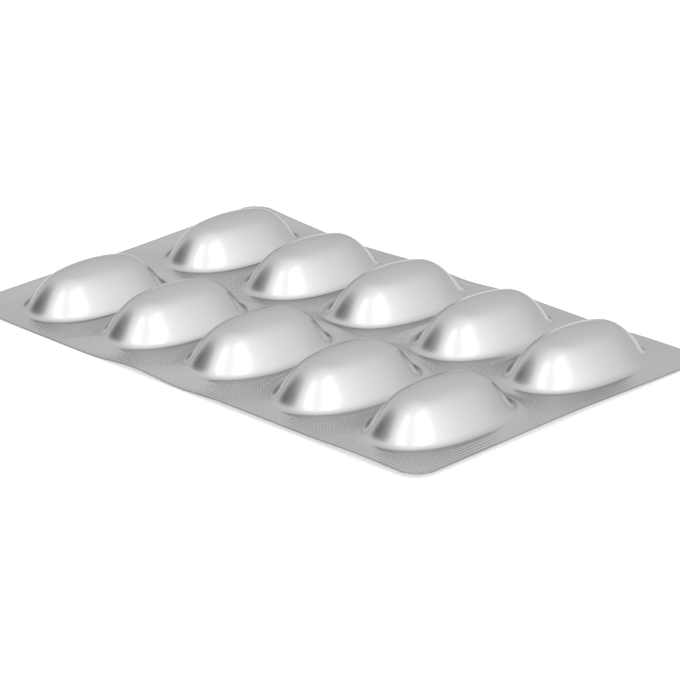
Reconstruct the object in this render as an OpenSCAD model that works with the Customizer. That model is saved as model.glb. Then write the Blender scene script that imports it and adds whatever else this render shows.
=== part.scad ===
// Foil blister strip: a thin sheet with rounded corners and ten obround
// pockets pressed up out of it, closed from below by a flat lidding foil.
// X runs along the strip, Y across it along each pocket, Z is up.
// The origin is under the middle of the strip, on the surface it lies on.

/* [Strip] */
// Number of pockets in a row, along the strip
pockets_along = 5; // [2:1:5]
// Distance between neighbouring pocket centres in a row
pocket_pitch = 19.5; // [18.6:0.1:24]
// Distance between the centre lines of the two rows
row_pitch = 31.5; // [30:0.1:40]
// From the outermost pocket centres to each short edge
end_margin = 12.1; // [11:0.1:20]
// From each row's centre line to its long edge
side_margin = 17.7; // [16:0.1:24]
// Radius of the four corners of the sheet
corner_r = 3.8; // [2:0.1:8]
// Thickness of the formed foil and the lidding foil sealed together
web_t = 0.25; // [0.2:0.05:0.6]

/* [Pockets] */
// Length of a pocket at its foot, across the strip
pocket_l = 26.4; // [22:0.1:28]
// Width of a pocket at its foot, along the strip
pocket_w = 15.8; // [12:0.1:16.6]
// How full the outline of a pocket is: 2 is an ellipse, more is squarer
fullness = 2.3; // [2:0.1:3]
// Height of a pocket's crown above the web
pocket_h = 6.5; // [4:0.1:8]
// Slope of the long side walls, in degrees
side_slope = 60; // [50:1:75]
// Slope of the two end walls, in degrees
end_slope = 58; // [50:1:75]
// Radius of the crown across the pocket
crown_r = 6.5; // [5:0.5:20]
// Radius of the crown along the pocket
crown_long_r = 34; // [30:1:200]
// Height over which the side walls round into the crown
side_round = 2.4; // [0.4:0.1:4]
// Height over which the end walls round into the crown
end_round = 4.5; // [0.4:0.1:5]
// Height over which the web rounds into the wall
foot_round = 1.2; // [0.2:0.1:2]

/* [Waves] */
// How much of the waviness of the sheet is kept
waviness = 1; // [0:0.1:1]

/* [Hidden] */

// Lifts of the sheet above the surface it lies on. Each list runs along the
// strip: one edge, then a pocket, the web beside it, and so on to the far edge.
front_edge = [0.5, 0.2, 0.1, 0.1, 0.8, 0.3, 0.7, 0.7, 0.7, 0.9, 0.7];
front_row = [0.8, 0, 0.6, 0.7, 1, 1, 1, 0.8, 0.7, 0.9, 0.8];
middle = [0.8, 0.4, 0.7, 0.7, 1.1, 1.2, 1.1, 0.8, 0.6, 0.6, 0.9];
back_row = [1.3, 0.4, 0.7, 0.6, 0.8, 0.8, 0.8, 0.6, 0.3, 0.6, 0.6];
back_edge = [1.8, 0.8, 0.2, 0.3, 0.6, 0.1, 0.6, 0.4, 0.2, 0.4, 0.3];
LIFTS = [front_edge, front_row, middle, back_row, back_edge];

ROWS = 2;
// Steps on a quarter of a pocket's outline, and the step where its cell turns the corner
QUARTER = 9;
TURN = 5;
LOOP = 4 * QUARTER;

half_w = pocket_w / 2;
half_l = pocket_l / 2;
core = half_l - half_w;
first_x = -(pockets_along - 1) / 2 * pocket_pitch;
first_y = -(ROWS - 1) / 2 * row_pitch;

function mix(a, b, f) = a + (b - a) * f;
function ease(f) = f * f * (3 - 2 * f);
function clamp(v, low, high) = max(low, min(high, v));
function smooth_min(u, v, k) =
    let (f = clamp(0.5 + 0.5 * (v - u) / k, 0, 1))
    mix(v, u, f) - k * f * (1 - f);
function smooth_max(u, v, k) = -smooth_min(-u, -v, k);

// Curve through four evenly spaced values, between the middle two
function through(a, b, c, d, f) =
    b + 0.5 * f * (c - a + f * (2 * a - 5 * b + 4 * c - d + f * (3 * (b - c) + d - a)));

// Place in a list of lifts for a coordinate
function list_place(v, first, pitch, count, margin) =
    let (last = first + (count - 1) * pitch)
    v < first ? 1 - (first - v) / margin
    : v > last ? 2 * count - 1 + (v - last) / margin
    : 1 + 2 * (v - first) / pitch;

function lift_at(col, row) =
    LIFTS[clamp(row, 0, 2 * ROWS)][clamp(col, 0, 2 * pockets_along)];

function lift_along(row, u) =
    let (c = clamp(floor(u), 0, 2 * pockets_along - 1), f = u - c)
    through(lift_at(c - 1, row), lift_at(c, row), lift_at(c + 1, row), lift_at(c + 2, row), f);

// Lift of the wavy web at any point of the sheet
function wave(x, y) =
    let (
        u = clamp(list_place(x, first_x, pocket_pitch, pockets_along, end_margin), 0, 2 * pockets_along),
        v = clamp(list_place(y, first_y, row_pitch, ROWS, side_margin), 0, 2 * ROWS),
        r = clamp(floor(v), 0, 2 * ROWS - 1)
    )
    max(0, through(lift_along(r - 1, u), lift_along(r, u), lift_along(r + 1, u), lift_along(r + 2, u), v - r));

// A cell is one pocket with the web round it. Its reach on each side:
function reach_x(i, sx) = (sx < 0 && i == 0) || (sx > 0 && i == pockets_along - 1) ? end_margin : pocket_pitch / 2;
function reach_y(j, sy) = (sy < 0 && j == 0) || (sy > 0 && j == ROWS - 1) ? side_margin : row_pitch / 2;
function is_corner(i, j, sx, sy) = reach_x(i, sx) == end_margin && reach_y(j, sy) == side_margin
    && (sx < 0 ? i == 0 : i == pockets_along - 1) && (sy < 0 ? j == 0 : j == ROWS - 1);

// Quarter and step of a place on a loop, counted anticlockwise from +X
function side_x(k) = k <= QUARTER || k > 3 * QUARTER ? 1 : -1;
function side_y(k) = k <= 2 * QUARTER ? 1 : -1;
function step_of(k) = k <= QUARTER ? k : k <= 2 * QUARTER ? 2 * QUARTER - k : k <= 3 * QUARTER ? k - 2 * QUARTER : 4 * QUARTER - k;

// Point of a quarter of a pocket's outline, set in from its foot
function loop_point(t, inset) =
    let (a = 90 * t / QUARTER)
    [(half_w - inset) * pow(cos(a), 2 / fullness), t == 0 ? 0 : (half_l - inset) * pow(sin(a), 2 / fullness)];

// Point of a quarter of the cell's boundary, plain or with the sheet's rounded corner
function plain_edge(t, ex, ey) =
    t <= TURN ? [ex, ey * t / TURN] : [ex * (QUARTER - t) / (QUARTER - TURN), ey];
function round_edge(t, ex, ey, r) =
    t == 0 ? [ex, 0]
    : t == 1 ? [ex, (ey - r) / 2]
    : t <= TURN + 1 ? let (a = 90 * (t - 2) / (TURN - 1)) [ex - r + r * cos(a), ey - r + r * sin(a)]
    : [(ex - r) * (QUARTER - t) / (QUARTER - TURN - 1), ey];
function edge_point(i, j, k) =
    let (sx = side_x(k), sy = side_y(k), t = step_of(k), ex = reach_x(i, sx), ey = reach_y(j, sy))
    is_corner(i, j, sx, sy) ? round_edge(t, ex, ey, corner_r) : plain_edge(t, ex, ey);

// Distance inward from a pocket's foot, and how far that place belongs to an end wall
function inward(x, y) =
    let (
        ax = max(abs(x), 0.001),
        ay = max(abs(y), 0.001),
        tx = pow(ax / half_w, fullness),
        ty = pow(ay / half_l, fullness),
        rho = pow(tx + ty, 1 / fullness),
        slope = rho / (tx + ty) * norm([tx / ax, ty / ay]),
        part = pow(ty / ay, 2) / (pow(tx / ax, 2) + pow(ty / ay, 2))
    )
    [(1 - rho) / slope, part];

// Height of a pocket above the web, from its own centre
function pocket_z(x, y) =
    let (
        d = inward(x, y),
        wall = d[0] * mix(tan(side_slope), tan(end_slope), d[1]),
        crown = pocket_h - x * x / (2 * crown_r) - y * y / (2 * crown_long_r)
    )
    smooth_max(smooth_min(wall, crown, mix(side_round, end_round, d[1])), 0, foot_round);

// Lift of the underside inside a cell: flat under the pocket, wavy round it
function under_z(i, j, x, y) =
    let (
        cx = first_x + i * pocket_pitch,
        cy = first_y + j * row_pitch,
        out = max(-inward(x, y)[0], 0),
        left = max(min(reach_x(i, sign(x)) - abs(x), reach_y(j, sign(y)) - abs(y)), 0)
    )
    waviness * mix(lift_at(2 * i + 1, 2 * j + 1), wave(cx + x, cy + y), ease(out / max(out + left, 0.001)));

// Distances inward from the foot at which the rings of a pocket lie
foot_run = foot_round / tan(min(side_slope, end_slope));
RINGS = [-foot_run, -0.4 * foot_run, 0.3 * foot_run, foot_run, 0.22 * half_w, 0.3 * half_w, 0.38 * half_w,
    0.47 * half_w, 0.58 * half_w, 0.72 * half_w, 0.87 * half_w];
TOP_LOOPS = len(RINGS) + 2;
SPINE = 3;
CELL_POINTS = TOP_LOOPS * LOOP + SPINE + 3 * LOOP;

function placed(i, j, p, top) =
    [first_x + i * pocket_pitch + p.x, first_y + j * row_pitch + p.y,
        under_z(i, j, p.x, p.y) + (top ? web_t + pocket_z(p.x, p.y) : 0)];

function loop_at(i, j, ring, top) = [
    for (k = [0:LOOP - 1])
        let (
            t = step_of(k),
            e = edge_point(i, j, k),
            w = loop_point(t, top ? -foot_run : 0),
            q = ring == "edge" ? e : ring == "web" ? (e + w) / 2 : loop_point(t, ring)
        )
        placed(i, j, [side_x(k) * q.x, side_y(k) * q.y], top)
];

function cell_points(i, j) = concat(
    loop_at(i, j, "edge", true),
    loop_at(i, j, "web", true),
    [for (d = RINGS) each loop_at(i, j, d, true)],
    [for (s = [-1:1]) placed(i, j, [0, s * core], true)],
    loop_at(i, j, "edge", false),
    loop_at(i, j, "web", false),
    loop_at(i, j, 0, false)
);

function cell_start(i, j) = (i * ROWS + j) * CELL_POINTS;
function wrap(k) = (k + LOOP) % LOOP;
function loop_index(sx, sy, t) = wrap(sx > 0 ? (sy > 0 ? t : LOOP - t) : (sy > 0 ? 2 * QUARTER - t : 2 * QUARTER + t));

// Neighbouring cells use the same boundary points
function edge_index(i, j, sx, sy, t, skip) =
    sx < 0 && i > 0 && t <= TURN ? edge_index(i - 1, j, 1, sy, t, skip)
    : sy < 0 && j > 0 && t >= TURN ? edge_index(i, j - 1, sx, 1, t, skip)
    : cell_start(i, j) + skip + loop_index(sx, sy, t);

function index(i, j, level, k) =
    let (c = wrap(k), skip = level * LOOP + (level >= TOP_LOOPS ? SPINE : 0))
    level == 0 || level == TOP_LOOPS ? edge_index(i, j, side_x(c), side_y(c), step_of(c), skip)
    : cell_start(i, j) + skip + c;

function band(i, j, outer, inner) = [
    for (k = [0:LOOP - 1])
        each [
            [index(i, j, outer, k), index(i, j, inner, k + 1), index(i, j, outer, k + 1)],
            [index(i, j, outer, k), index(i, j, inner, k), index(i, j, inner, k + 1)]
        ]
];

function flipped(faces) = [for (f = faces) [f[0], f[2], f[1]]];

// Crown strip between the last ring and the three points of the core line
function crown_faces(i, j) =
    let (
        last = TOP_LOOPS - 1,
        s = cell_start(i, j) + TOP_LOOPS * LOOP,
        low = s, mid = s + 1, high = s + 2
    )
    [
        for (k = [1:LOOP / 2 - 2]) [index(i, j, last, k), high, index(i, j, last, k + 1)],
        for (k = [LOOP / 2 + 1:LOOP - 2]) [index(i, j, last, k), low, index(i, j, last, k + 1)],
        [index(i, j, last, 0), high, index(i, j, last, 1)],
        [index(i, j, last, 0), mid, high],
        [index(i, j, last, 0), low, mid],
        [index(i, j, last, -1), low, index(i, j, last, 0)],
        [index(i, j, last, LOOP / 2), low, index(i, j, last, LOOP / 2 + 1)],
        [index(i, j, last, LOOP / 2), mid, low],
        [index(i, j, last, LOOP / 2), high, mid],
        [index(i, j, last, LOOP / 2 - 1), high, index(i, j, last, LOOP / 2)]
    ];

// Edge of the sheet, only where a cell's boundary is the sheet's own outline
function on_outline(i, j, k) =
    let (a = step_of(k), b = step_of(wrap(k + 1)), sx = side_x(k + 0.5), sy = side_y(k + 0.5))
    (a <= TURN && b <= TURN && (sx < 0 ? i == 0 : i == pockets_along - 1))
    || (a >= TURN && b >= TURN && (sy < 0 ? j == 0 : j == ROWS - 1));
function rim_faces(i, j) = [
    for (k = [0:LOOP - 1])
        if (on_outline(i, j, k))
            each [
                [index(i, j, 0, k), index(i, j, 0, k + 1), index(i, j, TOP_LOOPS, k + 1)],
                [index(i, j, 0, k), index(i, j, TOP_LOOPS, k + 1), index(i, j, TOP_LOOPS, k)]
            ]
];

function cell_faces(i, j) = concat(
    [for (level = [0:TOP_LOOPS - 2]) each band(i, j, level, level + 1)],
    crown_faces(i, j),
    flipped(band(i, j, TOP_LOOPS, TOP_LOOPS + 1)),
    flipped(band(i, j, TOP_LOOPS + 1, TOP_LOOPS + 2)),
    [[for (k = [0:LOOP - 1]) index(i, j, TOP_LOOPS + 2, k)]],
    rim_faces(i, j)
);

module blister_pack() {
    color([0.75, 0.76, 0.77])
        polyhedron(
            points = [for (i = [0:pockets_along - 1]) for (j = [0:ROWS - 1]) each cell_points(i, j)],
            faces = [for (i = [0:pockets_along - 1]) for (j = [0:ROWS - 1]) each cell_faces(i, j)],
            convexity = 6
        );
}

blister_pack();
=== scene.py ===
"""Looks of a sealed foil blister strip: formed foil with ten pockets, lidding foil below."""

import logging
import math
from dataclasses import dataclass, field
from enum import Enum

import bmesh
import bpy
import numpy as np
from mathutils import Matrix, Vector


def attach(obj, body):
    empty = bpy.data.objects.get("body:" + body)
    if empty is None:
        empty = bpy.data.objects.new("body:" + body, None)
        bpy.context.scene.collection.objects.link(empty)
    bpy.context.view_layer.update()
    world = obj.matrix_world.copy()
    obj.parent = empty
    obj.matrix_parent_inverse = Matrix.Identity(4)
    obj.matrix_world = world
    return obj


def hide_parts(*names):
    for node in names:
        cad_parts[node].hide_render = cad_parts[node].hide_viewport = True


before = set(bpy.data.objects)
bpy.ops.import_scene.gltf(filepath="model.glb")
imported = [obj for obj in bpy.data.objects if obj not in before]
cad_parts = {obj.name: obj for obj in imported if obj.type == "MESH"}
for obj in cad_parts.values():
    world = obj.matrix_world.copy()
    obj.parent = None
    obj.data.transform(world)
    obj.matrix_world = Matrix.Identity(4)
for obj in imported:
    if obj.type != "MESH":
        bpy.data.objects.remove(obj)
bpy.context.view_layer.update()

LOG = logging.getLogger("strip")
MM = 0.001
NODE = "blister_pack"
WHITE = (1.0, 1.0, 1.0, 1.0)

# Degrees that the camera stands to the right of the strip's front.
VIEW_AZIMUTH = 44.55

# Millimetres, the least that a distance is taken for before it divides.
MIN_REACH = 1e-3

Pair = tuple[float, float]
Triple = tuple[float, float, float]
Array = np.ndarray


def mix(a: Array, b: Array, share: Array) -> Array:
    """Returns a where share is 0, b where it is 1, and a blend between."""
    return a + (b - a) * share


def ease(share: Array) -> Array:
    """Returns share with a smooth start and a smooth end."""
    share = np.clip(share, 0.0, 1.0)
    return share * share * (3.0 - 2.0 * share)


def smooth_min(u: Array, v: Array, reach: Array) -> Array:
    """Lower of two heights, rounded where they meet.

    Args:
        u: first height.
        v: second height.
        reach: height over which the two blend.

    Returns:
        The rounded lower height.
    """
    share = np.clip(0.5 + 0.5 * (v - u) / reach, 0.0, 1.0)
    return mix(v, u, share) - reach * share * (1.0 - share)


def through(a: Array, b: Array, c: Array, d: Array, share: Array) -> Array:
    """Curve through four even steps, between the middle two.

    Args:
        a: value one step before.
        b: value at the start.
        c: value at the end.
        d: value one step after.
        share: place between start and end, 0 to 1.

    Returns:
        The value on the curve.
    """
    bend = 2 * a - 5 * b + 4 * c - d + share * (3 * (b - c) + d - a)
    return b + 0.5 * share * (c - a + share * bend)


def heading(azimuth: float, elevation: float) -> Triple:
    """Direction as seen from the strip.

    Args:
        azimuth: degrees to the right of straight behind the camera.
        elevation: degrees above the table.

    Returns:
        The unit direction in the strip's own frame.
    """
    a, e = math.radians(azimuth + VIEW_AZIMUTH), math.radians(elevation)
    return math.sin(a) * math.cos(e), -math.cos(a) * math.cos(e), math.sin(e)


@dataclass(frozen=True)
class Layout:
    """Plan of the strip, in millimetres."""

    along: int = 5
    rows: int = 2
    pitch: float = 19.5
    row_pitch: float = 31.5
    end_margin: float = 12.1
    side_margin: float = 17.7
    corner: float = 3.8
    thickness: float = 0.25

    @property
    def size(self) -> Pair:
        """Returns the sheet's length and width."""
        length = (self.along - 1) * self.pitch + 2 * self.end_margin
        return length, (self.rows - 1) * self.row_pitch + 2 * self.side_margin

    @property
    def first(self) -> Pair:
        """Returns the centre of the first pocket."""
        return -(self.along - 1) / 2 * self.pitch, -(self.rows - 1) / 2 * self.row_pitch


@dataclass(frozen=True)
class Waves:
    """Lifts of the underside above the table, one list for each line along the strip."""

    layout: Layout = Layout()
    lifts: tuple[tuple[float, ...], ...] = (
        (0.5, 0.2, 0.1, 0.1, 0.8, 0.3, 0.7, 0.7, 0.7, 0.9, 0.7),
        (0.8, 0.0, 0.6, 0.7, 1.0, 1.0, 1.0, 0.8, 0.7, 0.9, 0.8),
        (0.8, 0.4, 0.7, 0.7, 1.1, 1.2, 1.1, 0.8, 0.6, 0.6, 0.9),
        (1.3, 0.4, 0.7, 0.6, 0.8, 0.8, 0.8, 0.6, 0.3, 0.6, 0.6),
        (1.8, 0.8, 0.2, 0.3, 0.6, 0.1, 0.6, 0.4, 0.2, 0.4, 0.3),
    )

    @staticmethod
    def _place(v: Array, first: float, pitch: float, count: int, margin: float) -> Array:
        """Place of a coordinate in a list of lifts.

        Args:
            v: coordinate along the list.
            first: coordinate of the first pocket.
            pitch: distance between pockets.
            count: number of pockets.
            margin: distance from the outermost pocket to the edge.

        Returns:
            The place, 0 at one edge and twice the number of pockets at the other.
        """
        last = first + (count - 1) * pitch
        place = 1 + 2 * (v - first) / pitch
        place = np.where(v < first, 1 - (first - v) / margin, place)
        place = np.where(v > last, 2 * count - 1 + (v - last) / margin, place)
        return np.clip(place, 0, 2 * count)

    def sheet(self, x: Array, y: Array) -> Array:
        """Lift of the wavy sheet.

        Args:
            x: places along the strip.
            y: places across it.

        Returns:
            The lift at each place.
        """
        plan = self.layout
        table = np.array(self.lifts)
        u = self._place(x, plan.first[0], plan.pitch, plan.along, plan.end_margin)
        v = self._place(y, plan.first[1], plan.row_pitch, plan.rows, plan.side_margin)
        col = np.clip(np.floor(u).astype(int), 0, 2 * plan.along - 1)
        row = np.clip(np.floor(v).astype(int), 0, 2 * plan.rows - 1)

        def along(step: int) -> Array:
            """Lift along one line of the table.

            Args:
                step: which line, counted from the one before each place.

            Returns:
                The lift on that line.
            """
            line = np.clip(row + step, 0, 2 * plan.rows)
            picks = [table[line, np.clip(col + k, 0, 2 * plan.along)] for k in (-1, 0, 1, 2)]
            return through(*picks, u - col)

        return np.maximum(through(along(-1), along(0), along(1), along(2), v - row), 0.0)

    def pocket(self, col: Array, row: Array) -> Array:
        """Returns the lift of each pocket's flat floor."""
        return np.array(self.lifts)[2 * row + 1, 2 * col + 1]


@dataclass(frozen=True)
class PocketForm:
    """Form of one pressed pocket, in millimetres and degrees."""

    length: float = 26.4
    width: float = 15.8
    fullness: float = 2.3
    height: float = 6.5
    side_slope: float = 60.0
    end_slope: float = 58.0
    crown: float = 6.5
    long_crown: float = 34.0
    side_round: float = 2.4
    end_round: float = 4.5
    foot_round: float = 1.2

    def inward(self, x: Array, y: Array) -> tuple[Array, Array]:
        """Distance inward from the foot, and how far a place belongs to an end wall.

        Args:
            x: places across the pocket, from its centre.
            y: places along it, from its centre.

        Returns:
            The distances, and the shares of end wall.
        """
        ax, ay = np.maximum(np.abs(x), MIN_REACH), np.maximum(np.abs(y), MIN_REACH)
        part_x = (2 * ax / self.width) ** self.fullness
        part_y = (2 * ay / self.length) ** self.fullness
        level = (part_x + part_y) ** (1 / self.fullness)
        rise_x, rise_y = part_x / ax, part_y / ay
        steep = level / (part_x + part_y) * np.hypot(rise_x, rise_y)
        return (1 - level) / steep, rise_y**2 / (rise_x**2 + rise_y**2)

    def rise(self, x: Array, y: Array) -> Array:
        """Height above the web.

        Args:
            x: places across the pocket, from its centre.
            y: places along it, from its centre.

        Returns:
            The height at each place.
        """
        inset, end = self.inward(x, y)
        tangents = [math.tan(math.radians(a)) for a in (self.side_slope, self.end_slope)]
        wall = inset * mix(tangents[0], tangents[1], end)
        crown = self.height - x * x / (2 * self.crown) - y * y / (2 * self.long_crown)
        top = smooth_min(wall, crown, mix(self.side_round, self.end_round, end))
        return -smooth_min(-top, np.zeros_like(top), self.foot_round)


@dataclass(frozen=True)
class Surface:
    """Heights of both faces of the sealed strip."""

    layout: Layout = Layout()
    waves: Waves = Waves()
    form: PocketForm = PocketForm()

    def cell(self, x: Array, y: Array) -> tuple[Array, Array, Array, Array]:
        """Pocket that a place belongs to.

        Args:
            x: places along the strip.
            y: places across it.

        Returns:
            The pocket's column and row, and the place from that pocket's centre.
        """
        plan = self.layout
        px, py = x - plan.first[0], y - plan.first[1]
        col = np.clip(np.round(px / plan.pitch), 0, plan.along - 1).astype(int)
        row = np.clip(np.round(py / plan.row_pitch), 0, plan.rows - 1).astype(int)
        return col, row, px - col * plan.pitch, py - row * plan.row_pitch

    def under(self, x: Array, y: Array) -> Array:
        """Lift of the underside: flat below each pocket, wavy round it.

        Args:
            x: places along the strip.
            y: places across it.

        Returns:
            The lift at each place.
        """
        plan = self.layout
        col, row, px, py = self.cell(x, y)
        out = np.maximum(-self.form.inward(px, py)[0], 0.0)
        outer_x = ((col == 0) & (px < 0)) | ((col == plan.along - 1) & (px > 0))
        outer_y = ((row == 0) & (py < 0)) | ((row == plan.rows - 1) & (py > 0))
        left_x = np.where(outer_x, plan.end_margin, plan.pitch / 2) - np.abs(px)
        left_y = np.where(outer_y, plan.side_margin, plan.row_pitch / 2) - np.abs(py)
        left = np.maximum(np.minimum(left_x, left_y), 0.0)
        share = ease(out / np.maximum(out + left, MIN_REACH))
        return mix(self.waves.pocket(col, row), self.waves.sheet(x, y), share)

    def clearance(self, x: Array, y: Array) -> Array:
        """Distance outside the nearest pocket's foot, negative inside it."""
        _, _, px, py = self.cell(x, y)
        return -self.form.inward(px, py)[0]

    def top(self, x: Array, y: Array) -> Array:
        """Height of the formed foil's upper face, without its knurl."""
        _, _, px, py = self.cell(x, y)
        return self.under(x, y) + self.layout.thickness + self.form.rise(px, py)


@dataclass(frozen=True)
class Knurl:
    """Heat-seal waffle: small pyramids in rows along the sheet's edges."""

    pitch: float = 0.65
    depth: float = 0.04
    plain_rim: float = 1.7
    fade: float = 0.5

    def rise(self, x: Array, y: Array, clearance: Array) -> Array:
        """Height of the waffle, fading out beside the pockets.

        Args:
            x: places along the strip.
            y: places across it.
            clearance: distance of each place from the nearest pocket's foot.

        Returns:
            The height at each place, 0 at the most.
        """
        half = self.pitch / 2
        steps = np.abs(np.round(x / half)) % 2 + np.abs(np.round(y / half)) % 2
        share = ease((clearance - self.plain_rim) / self.fade)
        return self.depth * (steps / 2 - 1) * share


class Side(Enum):
    """Which face of the sealed strip a foil makes."""

    FORMED = 1
    LIDDING = -1


@dataclass(frozen=True)
class FoilFinish:
    """Satin rolled aluminium foil, or the finish of its cut edge, darkened as painted shade.
    """

    name: str
    color: Triple
    roughness: float
    grain: float
    edge: float = 0.7
    rolling: Triple = (900.0, 5200.0, 900.0)
    detail: float = 3.0
    polished: float = 0.03
    worn: float = 0.05
    grain_depth: float = 0.00002

    def build(self) -> bpy.types.Material:
        """Builds the finish from a metal and a fine rolled grain.

        Returns:
            The finish as a node material.
        """
        material = bpy.data.materials.new(self.name)
        material.use_nodes = True
        nodes, links = material.node_tree.nodes, material.node_tree.links
        shader = nodes["Principled BSDF"]
        shader.inputs["Metallic"].default_value = 1.0
        shader.inputs["Base Color"].default_value = (*self.color, 1.0)
        shader.inputs["Specular Tint"].default_value = (self.edge, self.edge, self.edge, 1.0)
        place = nodes.new("ShaderNodeTexCoord")
        rolled = nodes.new("ShaderNodeMapping")
        rolled.inputs["Scale"].default_value = self.rolling
        grain = nodes.new("ShaderNodeTexNoise")
        grain.inputs["Scale"].default_value = 1.0
        grain.inputs["Detail"].default_value = self.detail
        rough = nodes.new("ShaderNodeMapRange")
        rough.inputs["To Min"].default_value = self.roughness - self.polished
        rough.inputs["To Max"].default_value = self.roughness + self.worn
        bump = nodes.new("ShaderNodeBump")
        bump.inputs["Strength"].default_value = self.grain
        bump.inputs["Distance"].default_value = self.grain_depth
        links.new(place.outputs["Object"], rolled.inputs["Vector"])
        links.new(rolled.outputs["Vector"], grain.inputs["Vector"])
        links.new(grain.outputs["Fac"], rough.inputs["Value"])
        links.new(rough.outputs["Result"], shader.inputs["Roughness"])
        links.new(grain.outputs["Fac"], bump.inputs["Height"])
        links.new(bump.outputs["Normal"], shader.inputs["Normal"])
        return material


@dataclass
class Foil:
    """One of the two foils, a closed sheet with a fine face and a plain one."""

    name: str
    side: Side
    finish: FoilFinish
    # Finish of the upright outline faces, its darker colour is painted shade.
    cut: FoilFinish
    surface: Surface = field(default_factory=Surface)
    knurl: Knurl = field(default_factory=Knurl)
    lid_share: float = 0.35
    corner_cuts: int = 12
    weld: float = 1e-5
    upright: float = 0.2

    def _blank(self, bm: bmesh.types.BMesh) -> None:
        """Cuts the flat sheet, one quad for each knurl pyramid.

        Args:
            bm: the empty mesh to build in.
        """
        length, width = self.surface.layout.size
        counts = [round(v / self.knurl.pitch) for v in (length, width)]
        bmesh.ops.create_grid(bm, x_segments=counts[0], y_segments=counts[1], size=0.5)
        bmesh.ops.scale(bm, vec=(length, width, 1.0), verts=bm.verts)
        radius = self.surface.layout.corner
        for sx in (-1, 1):
            for sy in (-1, 1):
                centre = Vector((sx * (length / 2 - radius), sy * (width / 2 - radius), 0.0))
                self._round_corner(bm, centre, Vector((sx, sy, 0.0)))

    def _round_corner(self, bm: bmesh.types.BMesh, centre: Vector, way: Vector) -> None:
        """Rounds one corner of the sheet with straight cuts.

        Args:
            bm: the flat sheet.
            centre: centre of the corner's arc.
            way: signs of the two directions from the centre to the corner.
        """
        radius = self.surface.layout.corner
        for cut in range(self.corner_cuts):
            angle = math.pi / 2 * (cut + 0.5) / self.corner_cuts
            out = Vector((way.x * math.cos(angle), way.y * math.sin(angle), 0.0))
            bmesh.ops.bisect_plane(
                bm, geom=bm.verts[:] + bm.edges[:] + bm.faces[:], dist=self.weld,
                plane_co=centre + out * radius, plane_no=out, clear_outer=True,
            )

    def _thicken(self, bm: bmesh.types.BMesh) -> None:
        """Gives the sheet a second face, then halves the quads of the fine face.

        Args:
            bm: the flat sheet.
        """
        made = bmesh.ops.extrude_face_region(bm, geom=bm.faces[:])["geom"]
        fine = [f for f in made if isinstance(f, bmesh.types.BMFace)]
        fine_verts = {v for f in fine for v in f.verts}
        bmesh.ops.translate(bm, vec=(0.0, 0.0, self.side.value), verts=list(fine_verts))
        edges = list({e for f in fine for e in f.edges})
        bmesh.ops.subdivide_edges(bm, edges=edges, cuts=1, use_grid_fill=True)
        bmesh.ops.recalc_face_normals(bm, faces=bm.faces)

    def _heights(self, x: Array, y: Array, fine: Array) -> Array:
        """Heights of the foil's points, on the fine face or on the seam.

        Args:
            x: places along the strip.
            y: places across it.
            fine: whether each point is on the fine face.

        Returns:
            The height of each point.
        """
        under = self.surface.under(x, y)
        seam = under + self.surface.layout.thickness * self.lid_share
        waffle = self.knurl.rise(x, y, self.surface.clearance(x, y))
        if self.side is Side.FORMED:
            face = self.surface.top(x, y) + waffle
        else:
            face = under - waffle
        return np.where(fine, face, seam)

    def _dress(self, mesh: bpy.types.Mesh) -> None:
        """Smooth faces on the pockets, crisp ones on the waffle, and a darker finish on the
        upright outline as painted shade.

        Args:
            mesh: the foil's finished mesh.
        """
        for finish in (self.finish, self.cut):
            mesh.materials.append(finish.build())
        centres = np.empty(len(mesh.polygons) * 3)
        mesh.polygons.foreach_get("center", centres)
        x, y, _ = (centres.reshape(-1, 3) / MM).T
        smooth = self.surface.clearance(x, y) < self.knurl.plain_rim
        mesh.polygons.foreach_set("use_smooth", smooth)
        normals = np.empty(len(mesh.polygons) * 3)
        mesh.polygons.foreach_get("normal", normals)
        # Upright outline faces take the darker cut-edge finish, which is painted shade.
        outline = np.abs(normals.reshape(-1, 3)[:, 2]) < self.upright
        mesh.polygons.foreach_set("material_index", outline.astype(np.int32))

    def build(self) -> bpy.types.Object:
        """Builds and dresses the foil.

        Returns:
            The finished foil as a mesh object.
        """
        bm = bmesh.new()
        self._blank(bm)
        self._thicken(bm)
        mesh = bpy.data.meshes.new(self.name)
        bm.to_mesh(mesh)
        bm.free()
        flat = np.empty(len(mesh.vertices) * 3)
        mesh.vertices.foreach_get("co", flat)
        points = flat.reshape(-1, 3)
        fine = points[:, 2] * self.side.value > 0.5
        points[:, 2] = self._heights(points[:, 0], points[:, 1], fine)
        mesh.vertices.foreach_set("co", (points * MM).ravel())
        mesh.update()
        self._dress(mesh)
        piece = bpy.data.objects.new(self.name, mesh)
        bpy.context.scene.collection.objects.link(piece)
        return piece


@dataclass(frozen=True)
class Camera:
    """The photograph's viewpoint, in degrees and millimetres, with near in metres."""

    elevation: float = 21.28
    distance: float = 492.5
    target: Triple = (4.88, -2.33, 0.85)
    lens: float = 163.1
    sensor: float = 36.0
    near: float = 0.01

    def build(self) -> list[bpy.types.Object]:
        """Builds the camera, aimed at the strip.

        Returns:
            The camera.
        """
        back = Vector(heading(0.0, self.elevation))
        data = bpy.data.cameras.new("camera")
        data.lens = self.lens
        data.sensor_width = self.sensor
        data.clip_start = self.near
        camera = bpy.data.objects.new("camera", data)
        camera.location = (Vector(self.target) + back * self.distance) * MM
        camera.rotation_euler = (-back).to_track_quat("-Z", "Y").to_euler()
        bpy.context.scene.collection.objects.link(camera)
        bpy.context.scene.camera = camera
        return [camera]


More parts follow.
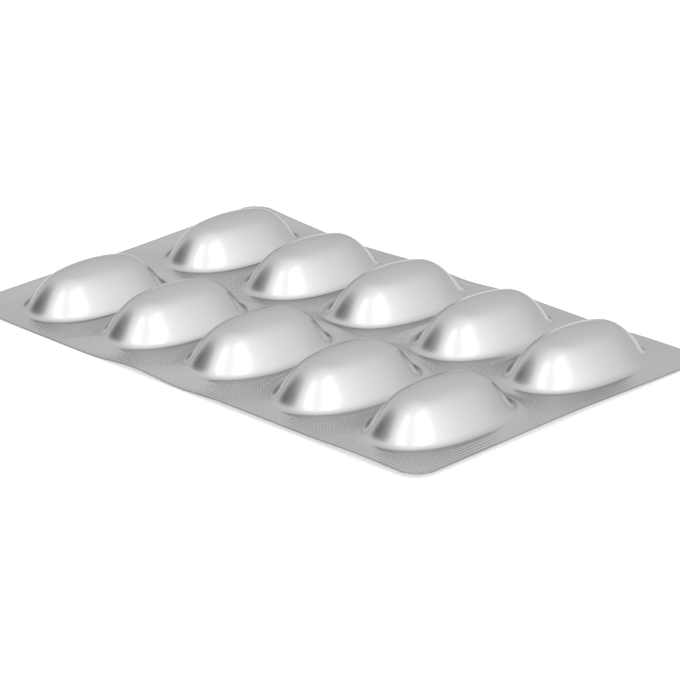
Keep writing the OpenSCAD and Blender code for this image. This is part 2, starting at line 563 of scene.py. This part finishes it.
@dataclass(frozen=True)
class Lamp:
    """A soft panel that shines at the strip, in degrees, metres and watts."""

    name: str
    azimuth: float
    elevation: float
    distance: float
    size: Pair
    power: float

    def build(self) -> bpy.types.Object:
        """Builds the panel, turned to the strip.

        Returns:
            The panel as a light object.
        """
        toward = Vector(heading(self.azimuth, self.elevation))
        data = bpy.data.lights.new(self.name, "AREA")
        data.shape = "RECTANGLE"
        data.size, data.size_y = self.size
        data.energy = self.power
        lamp = bpy.data.objects.new(self.name, data)
        lamp.location = toward * self.distance
        lamp.rotation_euler = toward.to_track_quat("Z", "Y").to_euler()
        bpy.context.scene.collection.objects.link(lamp)
        return lamp


@dataclass(frozen=True)
class Glow:
    """A soft lighter or darker part of the surroundings, in degrees.

    Azimuth 0 is straight behind the camera, and plus is to its right.
    """

    azimuth: float
    elevation: float
    inner: float
    outer: float
    gain: float

    def build(
        self, tree: bpy.types.NodeTree, way: bpy.types.NodeSocket
    ) -> bpy.types.NodeSocket:
        """Adds the glow to the world's nodes.

        Args:
            tree: the world's node tree.
            way: the direction looked in.

        Returns:
            The socket that carries the glow's strength.
        """
        centre = tree.nodes.new("ShaderNodeVectorMath")
        centre.operation = "DOT_PRODUCT"
        centre.inputs[1].default_value = heading(self.azimuth, self.elevation)
        soft = tree.nodes.new("ShaderNodeMapRange")
        soft.interpolation_type = "SMOOTHSTEP"
        soft.inputs["From Min"].default_value = math.cos(math.radians(self.outer))
        soft.inputs["From Max"].default_value = math.cos(math.radians(self.inner))
        soft.inputs["To Max"].default_value = self.gain
        tree.links.new(way, centre.inputs[0])
        tree.links.new(centre.outputs["Value"], soft.inputs["Value"])
        return soft.outputs["Result"]


@dataclass(frozen=True)
class FloorFinish:
    """Matt pale floor that shows white to the camera and in the foil."""

    color: float = 0.8
    lift: float = 0.36
    roughness: float = 0.9
    gloss: float = 0.1

    def build(self) -> bpy.types.Material:
        """Builds the floor's finish.

        Returns:
            The finish as a node material.
        """
        material = bpy.data.materials.new("floor")
        material.use_nodes = True
        nodes, links = material.node_tree.nodes, material.node_tree.links
        shader = nodes["Principled BSDF"]
        shader.inputs["Base Color"].default_value = (self.color, self.color, self.color, 1.0)
        shader.inputs["Roughness"].default_value = self.roughness
        shader.inputs["Specular IOR Level"].default_value = self.gloss
        shader.inputs["Emission Color"].default_value = WHITE
        path = nodes.new("ShaderNodeLightPath")
        seen = path.outputs["Is Camera Ray"]
        for kind in ("Is Glossy Ray", "Is Transmission Ray"):
            either = nodes.new("ShaderNodeMath")
            either.operation = "MAXIMUM"
            links.new(seen, either.inputs[0])
            links.new(path.outputs[kind], either.inputs[1])
            seen = either.outputs["Value"]
        strength = nodes.new("ShaderNodeMath")
        strength.operation = "MULTIPLY"
        strength.inputs[1].default_value = self.lift
        links.new(seen, strength.inputs[0])
        links.new(strength.outputs["Value"], shader.inputs["Emission Strength"])
        return material


@dataclass(frozen=True)
class Studio:
    """Pale floor, a soft tent of light round it, and two upright panels."""

    floor_size: float = 6.0
    floor_finish: FloorFinish = FloorFinish()
    surround: float = 0.69
    glows: tuple[Glow, ...] = (
        Glow(8.0, 20.0, 15.0, 120.0, 0.78),
        Glow(-93.0, 18.0, 0.0, 38.0, -0.64),
        Glow(180.0, 12.0, 10.0, 75.0, 0.12),
    )
    lamps: tuple[Lamp, ...] = (
        Lamp("right_panel", 40.0, 42.0, 2.0, (0.9, 2.0), 1.9),
        Lamp("left_panel", -31.0, 42.0, 2.0, (0.75, 2.0), 1.6),
    )

    def _world(self) -> None:
        """Soft light from all round, brighter behind the camera and darker at its left."""
        world = bpy.data.worlds.new("surround")
        bpy.context.scene.world = world
        world.use_nodes = True
        tree = world.node_tree
        way = tree.nodes.new("ShaderNodeTexCoord").outputs["Generated"]
        even = tree.nodes.new("ShaderNodeValue")
        total = even.outputs["Value"]
        total.default_value = self.surround
        for glow in self.glows:
            add = tree.nodes.new("ShaderNodeMath")
            tree.links.new(glow.build(tree, way), add.inputs[0])
            tree.links.new(total, add.inputs[1])
            total = add.outputs["Value"]
        tree.links.new(total, tree.nodes["Background"].inputs["Strength"])
        tree.nodes["Background"].inputs["Color"].default_value = WHITE

    def _floor(self) -> bpy.types.Object:
        """Builds the floor, which keeps the strip's shadow.

        Returns:
            The floor as a mesh object.
        """
        bm = bmesh.new()
        bmesh.ops.create_grid(bm, x_segments=1, y_segments=1, size=self.floor_size / 2)
        mesh = bpy.data.meshes.new("floor")
        bm.to_mesh(mesh)
        bm.free()
        mesh.materials.append(self.floor_finish.build())
        floor = bpy.data.objects.new("floor", mesh)
        bpy.context.scene.collection.objects.link(floor)
        return floor

    def build(self) -> list[bpy.types.Object]:
        """Sets up the surroundings, the floor and the panels.

        Returns:
            The floor and the panels.
        """
        self._world()
        floor = self._floor()
        bpy.context.scene.view_settings.view_transform = "Standard"
        return [floor, *(lamp.build() for lamp in self.lamps)]


@dataclass(frozen=True)
class Strip:
    """The sealed strip: two foils that stand for the CAD solid."""

    formed: FoilFinish = FoilFinish("formed_foil", (0.63, 0.63, 0.635), 0.2, 0.1)
    lidding: FoilFinish = FoilFinish("lidding_foil", (0.63, 0.63, 0.635), 0.26, 0.1)
    # Cut edge: its darker colour is painted shade on the upright outline faces, and its
    # higher roughness is the cut metal's own.
    cut: FoilFinish = FoilFinish("cut_edge_painted_shade", (0.3, 0.3, 0.305), 0.5, 0.0)

    def build(self) -> list[bpy.types.Object]:
        """Builds both foils and puts them in the place of the solid.

        Returns:
            The formed foil and the lidding foil.
        """
        pieces = [
            Foil("formed_foil", Side.FORMED, self.formed, self.cut).build(),
            Foil("lidding_foil", Side.LIDDING, self.lidding, self.cut).build(),
        ]
        for piece in pieces:
            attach(piece, "root")
            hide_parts(NODE)
        return pieces


def report(piece: bpy.types.Object) -> None:
    """Reports a piece, with its number of faces where it is a mesh."""
    faces = len(piece.data.polygons) if piece.type == "MESH" else 0
    LOG.info("%s: %s, %d faces", piece.name, piece.type.lower(), faces)


def main() -> None:
    """Builds the camera, the studio and the strip."""
    logging.basicConfig(level=logging.INFO, format="%(name)s %(message)s")
    for assembly in (Camera(), Studio(), Strip()):
        for piece in assembly.build():
            report(piece)


if __name__ == "__main__":
    main()
